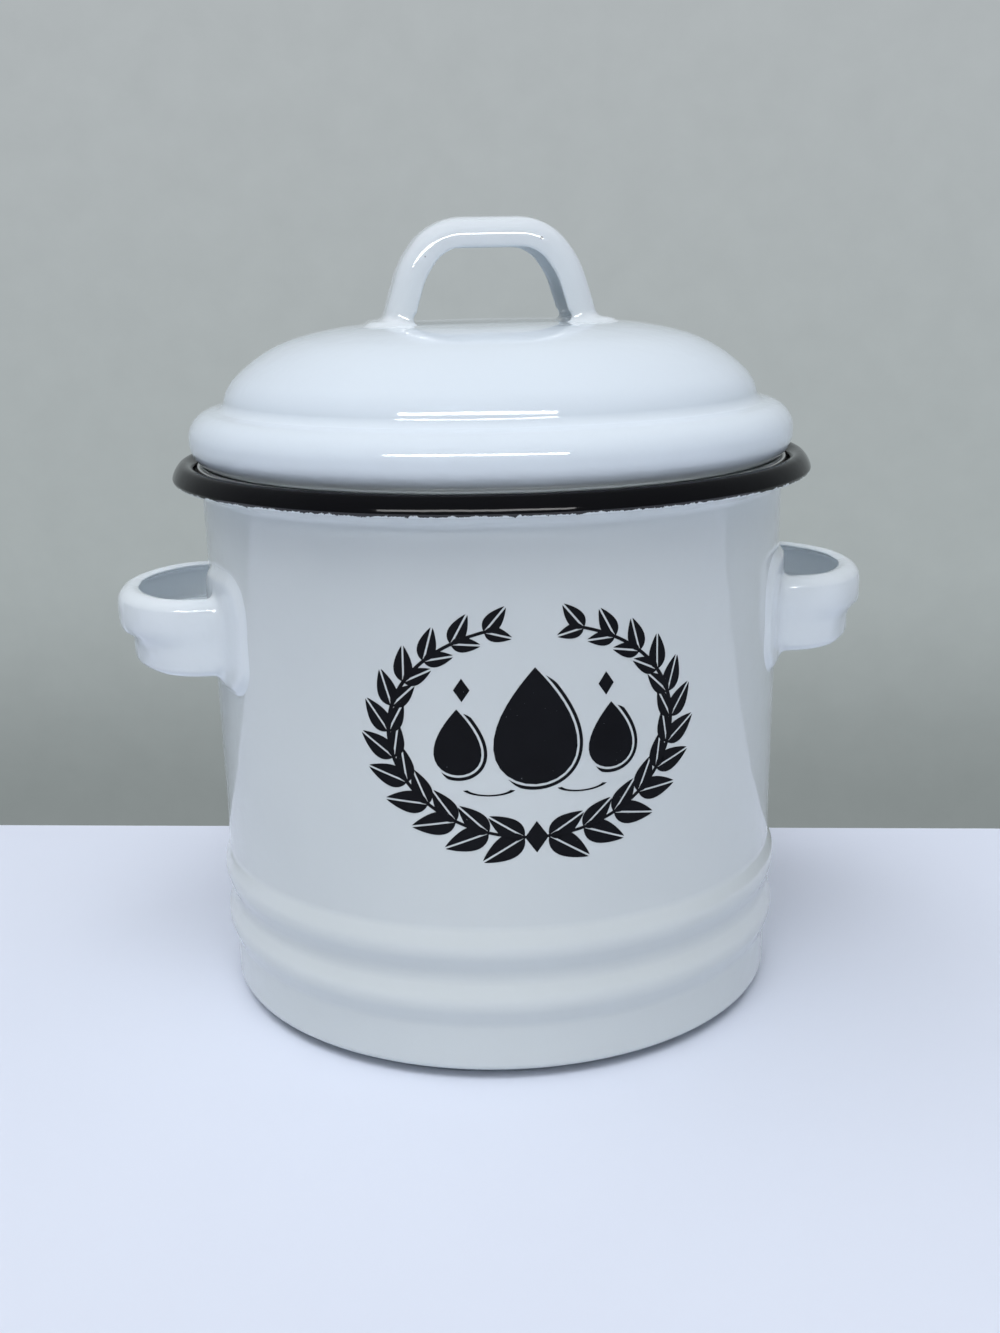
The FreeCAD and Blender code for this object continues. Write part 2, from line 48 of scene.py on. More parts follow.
FOOT_RADIUS, MOUTH_RADIUS, CREASE_HEIGHT = 58.7, 60.0, 105.8
POT_STEEL, LID_STEEL = 1.0, 0.9
BEADS = (14.4, 25.3)
BEAD_HALF, BEAD_SWELL, BEAD_ROOT, BEAD_CREST = 4.5, 1.65, 4.0, 5.0
LID_TOP, PLATEAU_RADIUS, CROWN_ROUND = 137.75, 24.44, 51.9

# A section's corner is its radius, its height and, where it isn't sharp, its round.
PANEL = [(0, 0.8), (47, 0.8, 3), (49, 0, 3), (FOOT_RADIUS, 0, 1.6)]
CREASE_ROUND, FLARE_END = 1.5, (63.9, 108.4)
RIM_ROLL = [(62.7, 107.62, 0.3), (65.95, 107.85, 0.9), (65.46, 110.02, 4.5), (63.5, 112.2, 1.7),
            (61.1, 110.75, 1.7), (61.34, 107.88, 0.4)]
LID_OUTSIDE = [(54.9, 105.8), (54.9, 110.69, 1.2), (62.0, 110.69, 5.0), (62.0, 120.9, 5.1),
               (54.9, 122.2, 2.2), (54.1, 126.3, 7.5), (46.15, 133.55, 24.7),
               (31.95, LID_TOP, CROWN_ROUND), (0, LID_TOP)]
CUP_SECTION = [(49.0, 80), (53.35, 80, 1.5), (56.4, 104.96, 1.0), (60.15, 107.46, 1.2),
               (60.15, 109.8), (60.65, 109.5, 0.7), (60.65, 111.1, 0.7), (59.05, 111.1, 0.7),
               (59.05, 109.5, 0.7), (59.55, 109.8), (59.55, 107.78, 0.6), (55.8, 105.28, 1.6),
               (52.75, 80.6, 0.9), (49.0, 80.6)]
RING_SECTION = [(49.5, 81.1, 0.1), (51.8, 81.1, 0.1), (51.8, 82.3, 0.5), (49.5, 82.3, 0.5)]
TURN_STEPS, SHARPEST_ROUND, ROUND_STEP = 288, 0.3, 6


def wall_radius(height):
    """Outside of the pot's wall at a height."""
    return FOOT_RADIUS + (MOUTH_RADIUS - FOOT_RADIUS) * height / CREASE_HEIGHT


def lid_surface(radius):
    """Height of the lid's outside, on its flat top and the round next to it."""
    over = max(0.0, radius - PLATEAU_RADIUS)
    return LID_TOP - CROWN_ROUND + math.sqrt(CROWN_ROUND ** 2 - over ** 2)


# ---------------------------------------------------------------- pieces

def new_piece(name, mesh, body, material, smooth_to=40):
    """Make the bmesh an object that rides on a body."""
    data = bpy.data.meshes.new(name)
    mesh.to_mesh(data)
    mesh.free()
    data.shade_smooth()
    data.set_sharp_from_angle(angle=math.radians(smooth_to))
    data.materials.append(material)
    piece = bpy.data.objects.new(name, data)
    bpy.context.scene.collection.objects.link(piece)
    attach(piece, body)
    return piece


def sheet_inside(outside, thickness):
    """The other side of a sheet, to the left of its outside, with its rounds kept concentric."""
    points = [Vector(corner[:2]) for corner in outside]
    runs = [(b - a).normalized() for a, b in zip(points, points[1:])]
    left = [Vector((-run.y, run.x)) for run in runs]
    inside = [tuple(points[0] + left[0] * thickness)]
    for corner, point, before, after, a, b in zip(outside[1:], points[1:], runs, runs[1:], left, left[1:]):
        place = point + (a + b) * thickness / (1 + a.dot(b))
        grow = thickness if before.cross(after) < 0 else -thickness
        inside.append((*place, max(SHARPEST_ROUND, corner[2] + grow)) if len(corner) > 2 else tuple(place))
    return inside + [tuple(points[-1] + left[-1] * thickness)]


def draw_section(mesh, corners, closed):
    """Draw a section in the XZ plane; a corner's third number is its round."""
    verts = [mesh.verts.new((corner[0] * MM, 0, corner[1] * MM)) for corner in corners]
    for pair in zip(verts, verts[1:] + verts[:1] if closed else verts[1:]):
        mesh.edges.new(pair)
    for vert, corner in zip(verts, corners):
        if len(corner) < 3:
            continue
        before, after = (edge.other_vert(vert).co - vert.co for edge in vert.link_edges)
        turn = math.pi - before.angle(after)
        bmesh.ops.bevel(mesh, geom=[vert], offset=corner[2] * MM * math.tan(turn / 2),
                        offset_type="OFFSET", segments=max(4, round(math.degrees(turn) / ROUND_STEP)),
                        profile=0.5, affect="VERTICES", material=-1)


def turned(name, corners, closed, body, material):
    """Turn a section once round the Z axis."""
    mesh = bmesh.new()
    draw_section(mesh, corners, closed)
    bmesh.ops.spin(mesh, geom=mesh.verts[:] + mesh.edges[:], cent=(0, 0, 0), axis=(0, 0, 1),
                   angle=math.tau, steps=TURN_STEPS, use_merge=True)
    bmesh.ops.remove_doubles(mesh, verts=mesh.verts, dist=0.001 * MM)
    bmesh.ops.recalc_face_normals(mesh, faces=mesh.faces)
    return new_piece(name, mesh, body, material)


def bead(height):
    """The three corners of a bead that stands out of the wall."""
    return [(wall_radius(height - BEAD_HALF), height - BEAD_HALF, BEAD_ROOT),
            (wall_radius(height) + BEAD_SWELL, height, BEAD_CREST),
            (wall_radius(height + BEAD_HALF), height + BEAD_HALF, BEAD_ROOT)]


def pot_section():
    outside = PANEL + bead(BEADS[0]) + bead(BEADS[1]) + [(MOUTH_RADIUS, CREASE_HEIGHT, CREASE_ROUND)]
    inside = sheet_inside(outside + [FLARE_END], POT_STEEL)
    return outside + RIM_ROLL + inside[-2::-1]


def lid_section():
    inside = sheet_inside(LID_OUTSIDE, LID_STEEL)
    return inside[::-1] + LID_OUTSIDE


# ---------------------------------------------------------------- handles under enamel

SKIN_WIDTH, SKIN_SMOOTHING = 0.36, 5
PATCH_STEPS, PATCH_SINK, PATCH_DEPTH = (60, 40), 0.05, 0.75
POOL_HEIGHT, POOL_SMOOTHING = 2.2, 28
DIVE_HEIGHT, DIVE_DEPTH = 0.3, 0.08


def merged_copy(node):
    """The CAD node's mesh as a bmesh, with its loose triangles joined."""
    mesh = bmesh.new()
    mesh.from_mesh(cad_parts[node].data)
    bmesh.ops.remove_doubles(mesh, verts=mesh.verts, dist=0.002 * MM)
    return mesh


def above_wall(point):
    """How far a point stands out of the pot's wall, in millimetres."""
    return math.hypot(point.x, point.y) / MM - wall_radius(point.z / MM)


def above_lid(point):
    """How far a point stands above the lid, in millimetres."""
    return point.z / MM - lid_surface(math.hypot(point.x, point.y) / MM)


def moved_out(point, distance, base):
    """The point, moved off its base by a distance in millimetres."""
    if base is above_lid:
        return point + Vector((0, 0, distance * MM))
    return point + Vector((point.x, point.y, 0)).normalized() * distance * MM


def add_patch(mesh, half_x, half_y, bend, base):
    """A slab of what a handle stands on, just under its surface."""
    wide, tall = PATCH_STEPS
    grid = bmesh.ops.create_grid(mesh, x_segments=wide, y_segments=tall, size=1)["verts"]
    for vert in grid:
        vert.co = bend(vert.co.x * half_x, vert.co.y * half_y)
        vert.co = moved_out(vert.co, -PATCH_SINK - base(vert.co), base)
    faces = list({face for vert in grid for face in vert.link_faces})
    bmesh.ops.recalc_face_normals(mesh, faces=faces)
    middle = faces[0].calc_center_median()
    if (moved_out(middle, 1, base) - middle).dot(faces[0].normal) < 0:
        bmesh.ops.reverse_faces(mesh, faces=faces)
    bmesh.ops.solidify(mesh, geom=faces, thickness=PATCH_DEPTH * MM)


def melted(mesh):
    """One skin round everything in the mesh, at an even mesh width."""
    data = bpy.data.meshes.new("rough")
    mesh.to_mesh(data)
    mesh.free()
    rough = bpy.data.objects.new("rough", data)
    bpy.context.scene.collection.objects.link(rough)
    remesh = rough.modifiers.new("skin", "REMESH")
    remesh.mode = "VOXEL"
    remesh.voxel_size = SKIN_WIDTH * MM
    graph = bpy.context.evaluated_depsgraph_get()
    skin = bpy.data.meshes.new_from_object(rough.evaluated_get(graph))
    bpy.data.objects.remove(rough)
    mesh = bmesh.new()
    mesh.from_mesh(skin)
    return mesh


def smooth(mesh, verts, times):
    for _ in range(times):
        bmesh.ops.smooth_vert(mesh, verts=verts, factor=0.5,
                              use_axis_x=True, use_axis_y=True, use_axis_z=True)


def enamelled(mesh, base):
    """Melt a handle and its patch together, pool enamel round the feet, and let the patch dive under."""
    mesh = melted(mesh)
    smooth(mesh, mesh.verts, SKIN_SMOOTHING)
    smooth(mesh, [vert for vert in mesh.verts if base(vert.co) < POOL_HEIGHT], POOL_SMOOTHING)
    for vert in mesh.verts:
        part = min(1.0, max(0.0, base(vert.co) / DIVE_HEIGHT))
        vert.co = moved_out(vert.co, -DIVE_DEPTH * (1 - part * part * (3 - 2 * part)), base)
    return mesh


# Half the width and height of the patches that the handles stand on.
WALL_PATCH_TURN, WALL_PATCH_TALL, WALL_PATCH_MIDDLE = math.radians(37), 15.5, 80.3
LID_PATCH_X, LID_PATCH_Y = 30, 15

# The step under the grip: where it is on the legs, how far out of the wall, and which way it faces.
STEP_LEG, STEP_LOW, STEP_HIGH = 11, 72.5, 84.5
STEP_CLEAR, STEP_FACING, STEP_SMOOTHING = 1, 0.25, 60

# The roll along the grip's top: its place, how far it swells, and where the swell starts and is full.
LOOP_MIDDLE, ROLL_MIDDLE, ROLL_HALF, ROLL_SWELL = Vector((61, 0)), 88.2, 3.6, 2.0
ROLL_CLEAR, ROLL_FADE, ROLL_SMOOTHING = 1, 3, 30
ROLL_TOP_CLEAR, ROLL_TOP_FACING = 2, -0.3


def soften_step(mesh):
    """Fade the step between the grip's bulge and its skirt, on the legs."""
    mesh.normal_update()
    legs = [vert for vert in mesh.verts
            if abs(vert.co.y) > STEP_LEG * MM and vert.normal.y * vert.co.y > STEP_FACING * abs(vert.co.y)
            and STEP_LOW * MM < vert.co.z < STEP_HIGH * MM and above_wall(vert.co) > STEP_CLEAR]
    smooth(mesh, legs, STEP_SMOOTHING)


def facing_inward(vert):
    """How far a corner of the skin faces the middle of the handle's loop."""
    return (LOOP_MIDDLE * MM - vert.co.xy).normalized().dot(vert.normal.xy)


def swell_roll(mesh):
    """Round the roll along the grip's top, on the side towards the pot."""
    mesh.normal_update()
    moves = {}
    for vert in mesh.verts:
        level = (vert.co.z / MM - ROLL_MIDDLE) / ROLL_HALF
        fade = min(1.0, max(0.0, (above_wall(vert.co) - ROLL_CLEAR) / ROLL_FADE))
        if facing_inward(vert) > 0 and abs(level) < 1 and fade > 0:
            moves[vert] = vert.normal.xy * math.sqrt(1 - level * level) * fade * ROLL_SWELL * MM
    for vert, move in moves.items():
        vert.co.xy += move
    top = [vert for vert in mesh.verts if vert not in moves and vert.co.z > ROLL_MIDDLE * MM
           and above_wall(vert.co) > ROLL_TOP_CLEAR and facing_inward(vert) > ROLL_TOP_FACING]
    smooth(mesh, list(moves) + top, ROLL_SMOOTHING)


def on_wall(turn, height):
    """A point near the pot's wall, level with the middle of a handle."""
    across = Vector((math.cos(turn), math.sin(turn), 0)) * MOUTH_RADIUS
    return (across + Vector((0, 0, height + WALL_PATCH_MIDDLE))) * MM


def on_lid(x, y):
    return Vector((x, y, LID_TOP)) * MM


def side_handle_skin():
    mesh = merged_copy("right_handle")
    add_patch(mesh, WALL_PATCH_TURN, WALL_PATCH_TALL, on_wall, above_wall)
    mesh = enamelled(mesh, above_wall)
    soften_step(mesh)
    swell_roll(mesh)
    return mesh


def lid_handle_skin():
    mesh = merged_copy("lid_handle")
    add_patch(mesh, LID_PATCH_X, LID_PATCH_Y, on_lid, above_lid)
    return enamelled(mesh, above_lid)


# ---------------------------------------------------------------- printed wreath

PRINT_TURN, PRINT_HEIGHT = math.radians(-88.8), 68.0
PRINT_HALF, PRINT_CUT, PRINT_LIFT, PRINT_DEPTH = 34.5, 1.5, 0.04, 0.12
CUT_MERGE = 1e-5
SHAPE_STEPS, LINE_STEPS, STEM_STEPS, DASH_STEPS = 32, 36, 72, 16

WREATH_WIDE, WREATH_TALL, WREATH_LEAVES = 27.0, 20.0, 12
WREATH_GAP, STEM_GAP, STEM_WIDE = 0.2, 0.32, 0.75

# A leaf, and how the leaves turn away from the stem and shrink along it, from foot to top.
LEAF_LONG, LEAF_WIDE, LEAF_VEIN, LEAF_TAPER, LEAF_TIP = 8.6, 4.3, 0.36, 0.45, 1.35
LEAF_FIRST, LEAF_SPARE = 0.35, 0.1
LEAF_OUTWARD, LEAF_INWARD = 0.62, 0.50
LEAF_LOWEST, LEAF_SHRINK, LEAF_PAIR = 1.06, 0.38, 0.86

# Place and height of a drop, and its width as a share of its height; the line beside it.
BIG_DROP, SMALL_DROP, DROP_WIDE = (0, 1.2, 22), (14.2, -1.6, 12.5), 0.455
LINE_MIDDLE, LINE_HALF, LINE_AHEAD = math.radians(-32), math.radians(88), 0.01
LINE_GAP, LINE_WIDE, LINE_TAPER = 0.42, 0.62, 0.15

# Place, width and height of a diamond.
SIDE_DIAMOND, LOW_DIAMOND = (13.2, 8.2, 3.0, 4.4), (0, -WREATH_TALL, 4.4, 6.2)
DASH_PLACE, DASH_WIDE, DASH_TALL, DASH_THICK = (8.6, -10.2), 4.6, 1.5, 0.9
DASH_START, DASH_END = math.radians(200), math.radians(340)


def flat_shape(mesh, outline, matrix):
    """A flat shape: a capped circle whose corners the outline moves, then put in place."""
    verts = bmesh.ops.create_circle(mesh, cap_ends=True, segments=SHAPE_STEPS, radius=1)["verts"]
    for vert in verts:
        vert.co = Vector((*outline(math.atan2(vert.co.y, vert.co.x)), 0))
    bmesh.ops.transform(mesh, matrix=matrix, verts=verts)
    return verts


def shape_parts(verts):
    faces = {face for vert in verts for face in vert.link_faces}
    edges = {edge for vert in verts for edge in vert.link_edges}
    return list(verts) + list(edges) + list(faces)


def cut_line(mesh, verts, point, across, width):
    """Cut a straight white line out of a flat shape."""
    parts = shape_parts(verts)
    for side in (-0.5, 0.5):
        cut = bmesh.ops.bisect_plane(mesh, geom=parts, dist=CUT_MERGE,
                                     plane_co=point + across * width * side, plane_no=across)
        parts = cut["geom"]
    faces = [part for part in parts if isinstance(part, bmesh.types.BMFace)
             and abs((part.calc_center_median() - point).dot(across)) < width / 2]
    bmesh.ops.delete(mesh, geom=faces, context="FACES")


def leaf(mesh, place, heading, size):
    """A leaf with its foot at a place and a white vein along it."""
    def outline(turn):
        taper = 1 - LEAF_TAPER * math.cos(turn)
        return (LEAF_LONG / 2 * math.cos(turn),
                LEAF_WIDE / 2 * taper * math.copysign(abs(math.sin(turn)) ** LEAF_TIP, math.sin(turn)))
    turn = Matrix.Rotation(heading, 4, "Z")
    spot = Matrix.Translation((*place, 0)) @ turn @ Matrix.Scale(size, 4)
    verts = flat_shape(mesh, outline, spot @ Matrix.Translation((LEAF_LONG / 2, 0, 0)))
    cut_line(mesh, verts, spot.translation, turn @ Vector((0, 1, 0)), LEAF_VEIN)


def drop(mesh, x, y, tall):
    """A drop with its tip up, and a thin line offset to the lower right of it."""
    def outline(turn):
        narrowing = math.sqrt((1 - math.sin(turn)) / 2)
        return DROP_WIDE * tall * math.cos(turn) * narrowing, tall / 2 * math.sin(turn)
    place = Matrix.Translation((x, y, 0))
    flat_shape(mesh, outline, place)
    line = bmesh.ops.create_grid(mesh, x_segments=LINE_STEPS, y_segments=1, size=1)["verts"]
    for vert in line:
        turn = LINE_MIDDLE + LINE_HALF * vert.co.x
        spot, ahead = Vector(outline(turn)), Vector(outline(turn + LINE_AHEAD))
        outward = Vector((ahead.y - spot.y, spot.x - ahead.x)).normalized()
        taper = min(1.0, (1 - abs(vert.co.x)) / LINE_TAPER)
        reach = LINE_GAP + LINE_WIDE * (vert.co.y + 1) / 2 * taper
        vert.co = Vector((*(spot + outward * reach), 0))
    bmesh.ops.transform(mesh, matrix=place, verts=line)


def ring_line(mesh, wide, tall, width, start, end, steps, x=0.0, y=0.0):
    """A thin arc of an oval line, spun from one short edge."""
    inner = mesh.verts.new((1 - width / 2 / wide, 0, 0))
    outer = mesh.verts.new((1 + width / 2 / wide, 0, 0))
    edge = mesh.edges.new((inner, outer))
    bmesh.ops.rotate(mesh, verts=[inner, outer], cent=(0, 0, 0), matrix=Matrix.Rotation(start, 3, "Z"))
    spun = bmesh.ops.spin(mesh, geom=[inner, outer, edge], cent=(0, 0, 0), axis=(0, 0, 1),
                          angle=end - start, steps=steps)
    faces = {face for part in spun["geom_last"] for face in part.link_faces}
    verts = {inner, outer}
    grown = True
    while grown:
        near = {other for vert in verts for face in vert.link_faces for other in face.verts}
        grown = not near <= verts
        verts |= near
    stretch = Matrix.Diagonal((wide, tall, 1, 1))
    bmesh.ops.transform(mesh, matrix=Matrix.Translation((x, y, 0)) @ stretch, verts=list(verts))


def diamond(mesh, x, y, wide, tall):
    verts = bmesh.ops.create_circle(mesh, cap_ends=True, segments=4, radius=1)["verts"]
    stretch = Matrix.Diagonal((wide / 2, tall / 2, 1, 1))
    bmesh.ops.transform(mesh, matrix=Matrix.Translation((x, y, 0)) @ stretch, verts=verts)


def wreath():
    """Oval wreath of leaves round a large drop, with small drops, diamonds and dashes."""
    mesh = bmesh.new()
    start = -math.pi / 2
    for side in (1, -1):
        for number in range(WREATH_LEAVES):
            share = (number + LEAF_FIRST) / (WREATH_LEAVES - LEAF_SPARE)
            turn = start + side * share * (math.pi - WREATH_GAP)
            place = (WREATH_WIDE * math.cos(turn), WREATH_TALL * math.sin(turn))
            along = math.atan2(WREATH_TALL * math.cos(turn) * side, -WREATH_WIDE * math.sin(turn) * side)
            size = LEAF_LOWEST - LEAF_SHRINK * share
            leaf(mesh, place, along - side * LEAF_OUTWARD, size)
            leaf(mesh, place, along + side * LEAF_INWARD, size * LEAF_PAIR)
        end = start + side * (math.pi - STEM_GAP)
        ring_line(mesh, WREATH_WIDE, WREATH_TALL, STEM_WIDE, start, end, STEM_STEPS)
    drop(mesh, *BIG_DROP)
    for side in (1, -1):
        drop(mesh, side * SMALL_DROP[0], *SMALL_DROP[1:])
        diamond(mesh, side * SIDE_DIAMOND[0], *SIDE_DIAMOND[1:])
        ring_line(mesh, DASH_WIDE, DASH_TALL, DASH_THICK, DASH_START, DASH_END, DASH_STEPS,
                  side * DASH_PLACE[0], DASH_PLACE[1])
    diamond(mesh, *LOW_DIAMOND)
    return mesh


def front_print():
    """The wreath, cut into upright strips and bent round the pot's wall."""
    mesh = wreath()
    bmesh.ops.triangulate(mesh, faces=[face for face in mesh.faces if len(face.verts) > 4])
    cut = -PRINT_HALF
    while cut <= PRINT_HALF:
        bmesh.ops.bisect_plane(mesh, geom=mesh.verts[:] + mesh.edges[:] + mesh.faces[:],
                               dist=CUT_MERGE, plane_co=(cut, 0, 0), plane_no=(1, 0, 0))
        cut += PRINT_CUT
    for face in mesh.faces:
        if face.normal.z < 0:
            face.normal_flip()
    bmesh.ops.solidify(mesh, geom=mesh.faces[:], thickness=PRINT_LIFT + PRINT_DEPTH)
    top = max(vert.co.z for vert in mesh.verts)
    for vert in mesh.verts:
        height = vert.co.y + PRINT_HEIGHT
        radius = wall_radius(height) + PRINT_LIFT + vert.co.z - top
        turn = PRINT_TURN + vert.co.x / wall_radius(height)
        vert.co = Vector((radius * math.cos(turn), radius * math.sin(turn), height)) * MM
    bmesh.ops.recalc_face_normals(mesh, faces=mesh.faces)
    return mesh


# ---------------------------------------------------------------- finishes

# The white of an enamel and of its clouds. Pot, lid and handles share one white enamel: the pot's white is
# set darker as painted shade and the lid's lighter and bluer as painted light, the handles' close to the
# lid's.
POT_WHITES_SHADED = (0.655, 0.70, 0.705, 1), (0.62, 0.665, 0.675, 1)
LID_WHITES_LIT = (0.735, 0.81, 0.87, 1), (0.705, 0.78, 0.845, 1)
HANDLE_WHITES = (0.745, 0.80, 0.83, 1), (0.71, 0.76, 0.80, 1)
BLACK, WORN_BLACK = (0.002, 0.002, 0.003, 1), (0.005, 0.005, 0.006, 1)
SPECK_BLACK = (0.02, 0.02, 0.025, 1)
INK_TONES = (0.0015, 0.0015, 0.0025, 1), (0.008, 0.009, 0.012, 1)
INK_BARE = (0.62, 0.65, 0.69, 1)
STEEL_TONES = (0.60, 0.60, 0.59, 1), (0.70, 0.70, 0.69, 1)

# Scale, detail and roughness of each noise.
CLOUDS, SMEARS, PEEL, FINE_PEEL = (22, 3), (60, 4), (170, 2), (520, 1)
PAINT_NOISE, RIM_TONE, RIM_SMEARS, RIM_PEEL = (520, 5, 0.75), (60, 3), (90, 3), (210, 2)
INK_PRICKS, INK_TONE, INK_SMEARS = (2600, 3, 0.6), (75, 3), (200, 2)
FINE_RINGS, BROAD_RINGS = (9000, 3, 0.7), (1500, 2)
FLOOR_MOTTLE, WALL_MOTTLE = (9, 3), (90, 4, 0.6)

# How far each noise moves a roughness or brightness, and its least value.
RIM_ROUGH, INK_ROUGH, STEEL_ROUGH = (0.06, 0.04), (0.12, 0.16), (0.22, 0.16)
WALL_GLOW = (0.10, 0.95)
GLOSS, SMEAR, ENAMEL_IOR, BLACK_IOR, BLACK_SPECULAR = 0.03, 0.03, 1.55, 1.5, 0.08
CLOUD_RANGE, CLOUD_SHARE, FINE_SHARE = (0.35, 0.75), 0.55, 0.25
PRICK_RANGE = (0.74, 0.80)
PEEL_HEIGHT, RIM_PEEL_HEIGHT, BRUSH_HEIGHT = 0.12, 0.1, 0.01


def add(tree, kind, inputs=None, **settings):
    """A shader node with its settings and inputs; an input is a value or another node's output."""
    node = tree.nodes.new("ShaderNode" + kind)
    for name, value in settings.items():
        setattr(node, name, value)
    for name, value in (inputs or {}).items():
        if isinstance(value, bpy.types.NodeSocket):
            tree.links.new(value, node.inputs[name])
        else:
            node.inputs[name].default_value = value
    return node


def maths(tree, operation, a, b=0.0, c=0.0):
    return add(tree, "Math", {0: a, 1: b, 2: c}, operation=operation).outputs[0]


def mixed(tree, share, a, b):
    """Colour a, with colour b over it by share."""
    node = add(tree, "Mix", data_type="RGBA")
    for socket, value in ((node.inputs[0], share), (node.inputs[6], a), (node.inputs[7], b)):
        if isinstance(value, bpy.types.NodeSocket):
            tree.links.new(value, socket)
        else:
            socket.default_value = value
    return node.outputs[2]


def noise(tree, where, scale, detail=2.0, roughness=0.5):
    return add(tree, "TexNoise", {"Vector": where, "Scale": scale, "Detail": detail,
                                  "Roughness": roughness}).outputs["Fac"]


def between(tree, value, low, high):
    """0 below low, 1 above high, smooth between."""
    node = add(tree, "MapRange", {"Value": value, "From Min": low, "From Max": high},
               interpolation_type="SMOOTHSTEP")
    return node.outputs["Result"]


def principled(name, **values):
    """A material with its Principled shader's plain values."""
    material = bpy.data.materials.new(name)
    material.use_nodes = True
    tree = material.node_tree
    shader = tree.nodes["Principled BSDF"]
    for key, value in values.items():
        shader.inputs[key.replace("_", " ")].default_value = value
    return material, tree, shader


def object_place(tree):
    return add(tree, "TexCoord").outputs["Object"]


def socket(group, name, kind, direction, value=None):
    made = group.interface.new_socket(name=name, in_out=direction, socket_type="NodeSocket" + kind)
    if value is not None:
        made.default_value = value


def fired_enamel_group():
    """Fired enamel: cloudy whiteness and orange peel."""
    group = bpy.data.node_groups.new("fired_enamel", "ShaderNodeTree")
    socket(group, "Enamel", "Color", "INPUT", (0.8, 0.8, 0.8, 1))
    socket(group, "Cloud", "Color", "INPUT", (0.7, 0.7, 0.7, 1))
    socket(group, "Peel", "Float", "INPUT", 1.0)
    socket(group, "Gloss", "Float", "INPUT", 0.08)
    for name, kind in (("Color", "Color"), ("Roughness", "Float"), ("Normal", "Vector")):
        socket(group, name, kind, "OUTPUT")
    given = group.nodes.new("NodeGroupInput").outputs
    result = group.nodes.new("NodeGroupOutput").inputs
    where = object_place(group)
    cloud = between(group, noise(group, where, *CLOUDS), *CLOUD_RANGE)
    colour = mixed(group, maths(group, "MULTIPLY", cloud, CLOUD_SHARE), given["Enamel"], given["Cloud"])
    group.links.new(colour, result["Color"])
    smear = maths(group, "MULTIPLY", noise(group, where, *SMEARS), SMEAR)
    group.links.new(maths(group, "ADD", given["Gloss"], smear), result["Roughness"])
    fine = maths(group, "MULTIPLY", noise(group, where, *FINE_PEEL), FINE_SHARE)
    peel = maths(group, "ADD", noise(group, where, *PEEL), fine)
    bump = add(group, "Bump", {"Strength": given["Peel"], "Distance": PEEL_HEIGHT * MM, "Height": peel})
    group.links.new(bump.outputs[0], result["Normal"])
    return group


FIRED_ENAMEL = fired_enamel_group()


def enamel(name, whites, peel):
    """A material of fired enamel; returns it with its tree, shader and group node."""
    material, tree, shader = principled(name, IOR=ENAMEL_IOR)
    group = add(tree, "Group", node_tree=FIRED_ENAMEL)
    group.inputs["Enamel"].default_value, group.inputs["Cloud"].default_value = whites
    group.inputs["Peel"].default_value = peel
    group.inputs["Gloss"].default_value = GLOSS
    for output, into in (("Color", "Base Color"), ("Roughness", "Roughness"), ("Normal", "Normal")):
        tree.links.new(group.outputs[output], shader.inputs[into])
    return material, tree, shader, group


PAINT_EDGE, PAINT_RAGGED, PAINT_BLUR, RIM_EDGE = 108.2, 2.0, 0.05, 108.7


def pot_finish():
    """White enamel with a black rim, painted down to a ragged edge low on the roll."""
    # The pot's white is set darker than the lid's and handles' as painted shade.
    material, tree, shader, group = enamel("pot_enamel", POT_WHITES_SHADED, 0.5)
    where = object_place(tree)
    height = add(tree, "SeparateXYZ", {0: where}).outputs["Z"]
    ragged = maths(tree, "MULTIPLY", noise(tree, where, *PAINT_NOISE), PAINT_RAGGED * MM)
    edge = maths(tree, "ADD", height, ragged)
    low = (PAINT_EDGE + PAINT_RAGGED / 2) * MM
    black = between(tree, edge, low, low + PAINT_BLUR * MM)
    tree.links.new(mixed(tree, black, group.outputs["Color"], BLACK), shader.inputs["Base Color"])
    return material


def rim_finish():
    """Black enamel over the rolled rim, duller than the white."""
    material, tree, shader = principled("rim_enamel", IOR=BLACK_IOR, Specular_IOR_Level=BLACK_SPECULAR)
    where = object_place(tree)
    tone = mixed(tree, noise(tree, where, *RIM_TONE), BLACK, WORN_BLACK)
    tree.links.new(tone, shader.inputs["Base Color"])
    rough = maths(tree, "MULTIPLY_ADD", noise(tree, where, *RIM_SMEARS), *RIM_ROUGH)
    tree.links.new(rough, shader.inputs["Roughness"])
    peel = add(tree, "Bump", {"Strength": 0.5, "Distance": RIM_PEEL_HEIGHT * MM,
                              "Height": noise(tree, where, *RIM_PEEL)})
    tree.links.new(peel.outputs[0], shader.inputs["Normal"])
    return material


# Where a speck is, and its size; it is solid to a share of that and gone at another.
SPECK_SOLID, SPECK_GONE = 0.6, 1.2
SPECKS = ((0.4, -9.6, 157.6, 0.28), (9.9, -9.5, 154.2, 0.35), (20.6, -10.0, 141.3, 0.42),
          (-13.2, -9.6, 151.0, 0.25), (17.8, -9.9, 147.3, 0.22))


def handle_finish():
    """White enamel with a few black specks where the firing stands touched it."""
    material, tree, shader, group = enamel("handle_enamel", HANDLE_WHITES, 0.7)
    where = object_place(tree)
    colour = group.outputs["Color"]
    for x, y, z, size in SPECKS:
        distance = add(tree, "VectorMath", {0: where, 1: Vector((x, y, z)) * MM},
                       operation="DISTANCE").outputs["Value"]
        clear = between(tree, distance, SPECK_SOLID * size * MM, SPECK_GONE * size * MM)
        colour = mixed(tree, maths(tree, "SUBTRACT", 1.0, clear), colour, SPECK_BLACK)
    tree.links.new(colour, shader.inputs["Base Color"])
    return material


